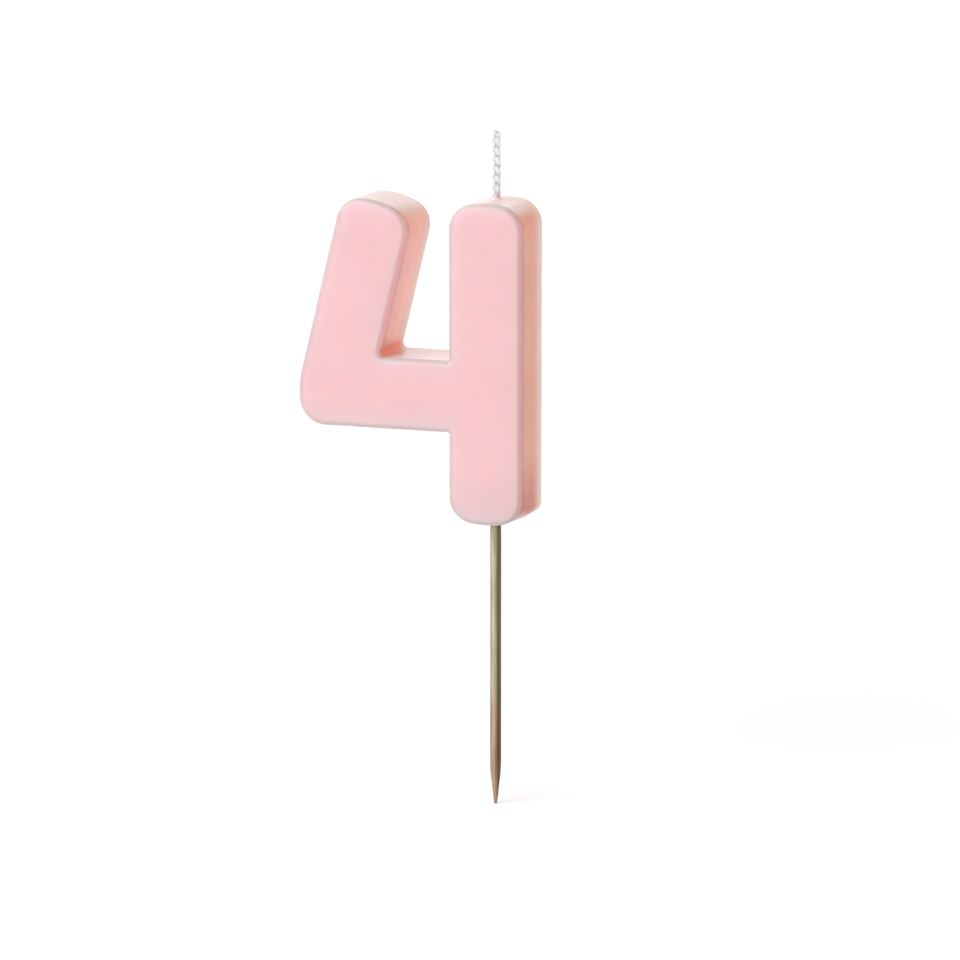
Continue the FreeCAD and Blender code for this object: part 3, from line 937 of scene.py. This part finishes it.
def wood_material():
    """Wood with streaks along it, painted highlight and shade across it, a redder lower end and painted
    shade at the wax.
    """
    wood = Shading("pick_wood")
    streaks = wood.noise(wood.place(WOOD_STREAK_STRETCH), *WOOD_STREAK_NOISE)
    height = wood.axes(wood.place())[2]
    colour = wood.ramp(streaks, WOOD_STREAKS)
    colour = wood.tint(wood.fall(height, WOOD_WARM_HEIGHT), colour, WOOD_WARM_END)
    # Painted highlight and shade across the pick, from its left to its right.
    across = wood.axes(wood.place((1 / (2 * PICK_RADIUS), 1, 1)))[0]
    painted_shading = wood.combine("ADD", wood.combine("MULTIPLY", streaks, WOOD_SHADING_WANDER), across)
    painted_shading = wood.combine("ADD", painted_shading, WOOD_SHADING_MIDDLE)
    colour = wood.tint(1.0, colour, wood.ramp(painted_shading, WOOD_PAINTED_SHADING))
    # Painted shade just below the wax.
    colour = wood.tint(wood.remap(height, WOOD_SHADE_HEIGHT), colour, WOOD_SHADE_AT_WAX)
    wood.surface("Base Color", colour)
    wood.surface("Roughness", wood.remap(streaks, NOISE_RANGE, WOOD_ROUGHNESS))
    fibres = wood.noise(wood.place(WOOD_FIBRE_STRETCH), *WOOD_FIBRE_NOISE)
    wood.bump(fibres, WOOD_FIBRE_DEPTH)
    return wood.material


def cotton_material(wax_top):
    """Cotton that lets light through, with painted light on its right side, and tinted where wax has soaked
    it.
    """
    cotton = Shading("wick_cotton")
    where = cotton.place()
    across, _, height = cotton.axes(where)
    fibres = cotton.noise(cotton.place(COTTON_FIBRE_STRETCH), *COTTON_FIBRE_NOISE)
    colour = cotton.ramp(fibres, COTTON_TONES)
    # Painted light on the wick's right side.
    colour = cotton.mix(cotton.remap(across, COTTON_RIGHT_REACH), colour, COTTON_PAINTED_FILL)
    ragged_height = cotton.combine("ADD", height, cotton.noise(where, *COTTON_SOAKED_NOISE))
    soaked = cotton.fall(ragged_height, [wax_top + rise for rise in COTTON_SOAKED_HEIGHT])
    cotton.surface("Base Color", cotton.mix(soaked, colour, COTTON_SOAKED))
    cotton.surface("Roughness", cotton.remap(soaked, (0.0, 1.0), COTTON_ROUGHNESS))
    cotton.surface("Subsurface Weight", 1.0)
    cotton.surface("Subsurface Radius", COTTON_SCATTER)
    cotton.surface("Subsurface Scale", COTTON_SCATTER_DEPTH * MM)
    cotton.bump(fibres, COTTON_FIBRE_DEPTH)
    return cotton.material


# ---------------------------------------------------------------- stage

def make_camera():
    """The camera, its lens set so that the view is VIEW_WIDTH wide at the candle."""
    azimuth, elevation = math.radians(CAMERA_AZIMUTH), math.radians(CAMERA_ELEVATION)
    back = Vector((math.sin(azimuth) * math.cos(elevation),
                   -math.cos(azimuth) * math.cos(elevation), math.sin(elevation)))
    right = Vector((math.cos(azimuth), math.sin(azimuth), 0))
    up = back.cross(right)
    data = bpy.data.cameras.new("camera")
    data.sensor_width = SENSOR_WIDTH
    data.lens = SENSOR_WIDTH * CAMERA_DISTANCE / VIEW_WIDTH
    data.clip_start, data.clip_end = (distance * MM for distance in CAMERA_CLIP)
    camera = bpy.data.objects.new("camera", data)
    camera.location = (right * CAMERA_RIGHT_OF_ORIGIN + up * CAMERA_ABOVE_ORIGIN
                       + back * CAMERA_DISTANCE) * MM
    camera.rotation_euler = back.to_track_quat("Z", "Y").to_euler()
    bpy.context.scene.collection.objects.link(camera)
    bpy.context.scene.camera = camera


def make_floor(height):
    """A pale floor at a height in metres."""
    mesh = bpy.data.meshes.new("floor")
    reach = FLOOR_REACH * MM
    mesh.from_pydata([(-reach, -reach, height), (reach, -reach, height),
                      (reach, reach, height), (-reach, reach, height)], [], [(0, 1, 2, 3)])
    floor = bpy.data.objects.new("floor", mesh)
    bpy.context.scene.collection.objects.link(floor)
    shading = Shading("pale_floor")
    shading.surface("Base Color", FLOOR_COLOUR)
    shading.surface("Roughness", FLOOR_ROUGHNESS)
    floor.data.materials.append(shading.material)


def make_lights():
    """A dim surround and the soft lights."""
    world = bpy.data.worlds.new("studio")
    bpy.context.scene.world = world
    world.use_nodes = True
    background = world.node_tree.nodes["Background"]
    background.inputs["Color"].default_value = (*WORLD_COLOUR, 1)
    background.inputs["Strength"].default_value = WORLD_STRENGTH
    for name, towards, angle, energy, colour in LIGHTS:
        sun = bpy.data.lights.new(name, "SUN")
        sun.energy = energy
        sun.angle = math.radians(angle)
        sun.color = colour
        lamp = bpy.data.objects.new(name, sun)
        lamp.rotation_euler = Vector(towards).to_track_quat("Z", "Y").to_euler()
        bpy.context.scene.collection.objects.link(lamp)


bpy.context.scene.view_settings.view_transform = "Standard"
make_camera()
make_wax()
make_pick()
make_wick()
make_floor(cad_bounds[0].z)
make_lights()
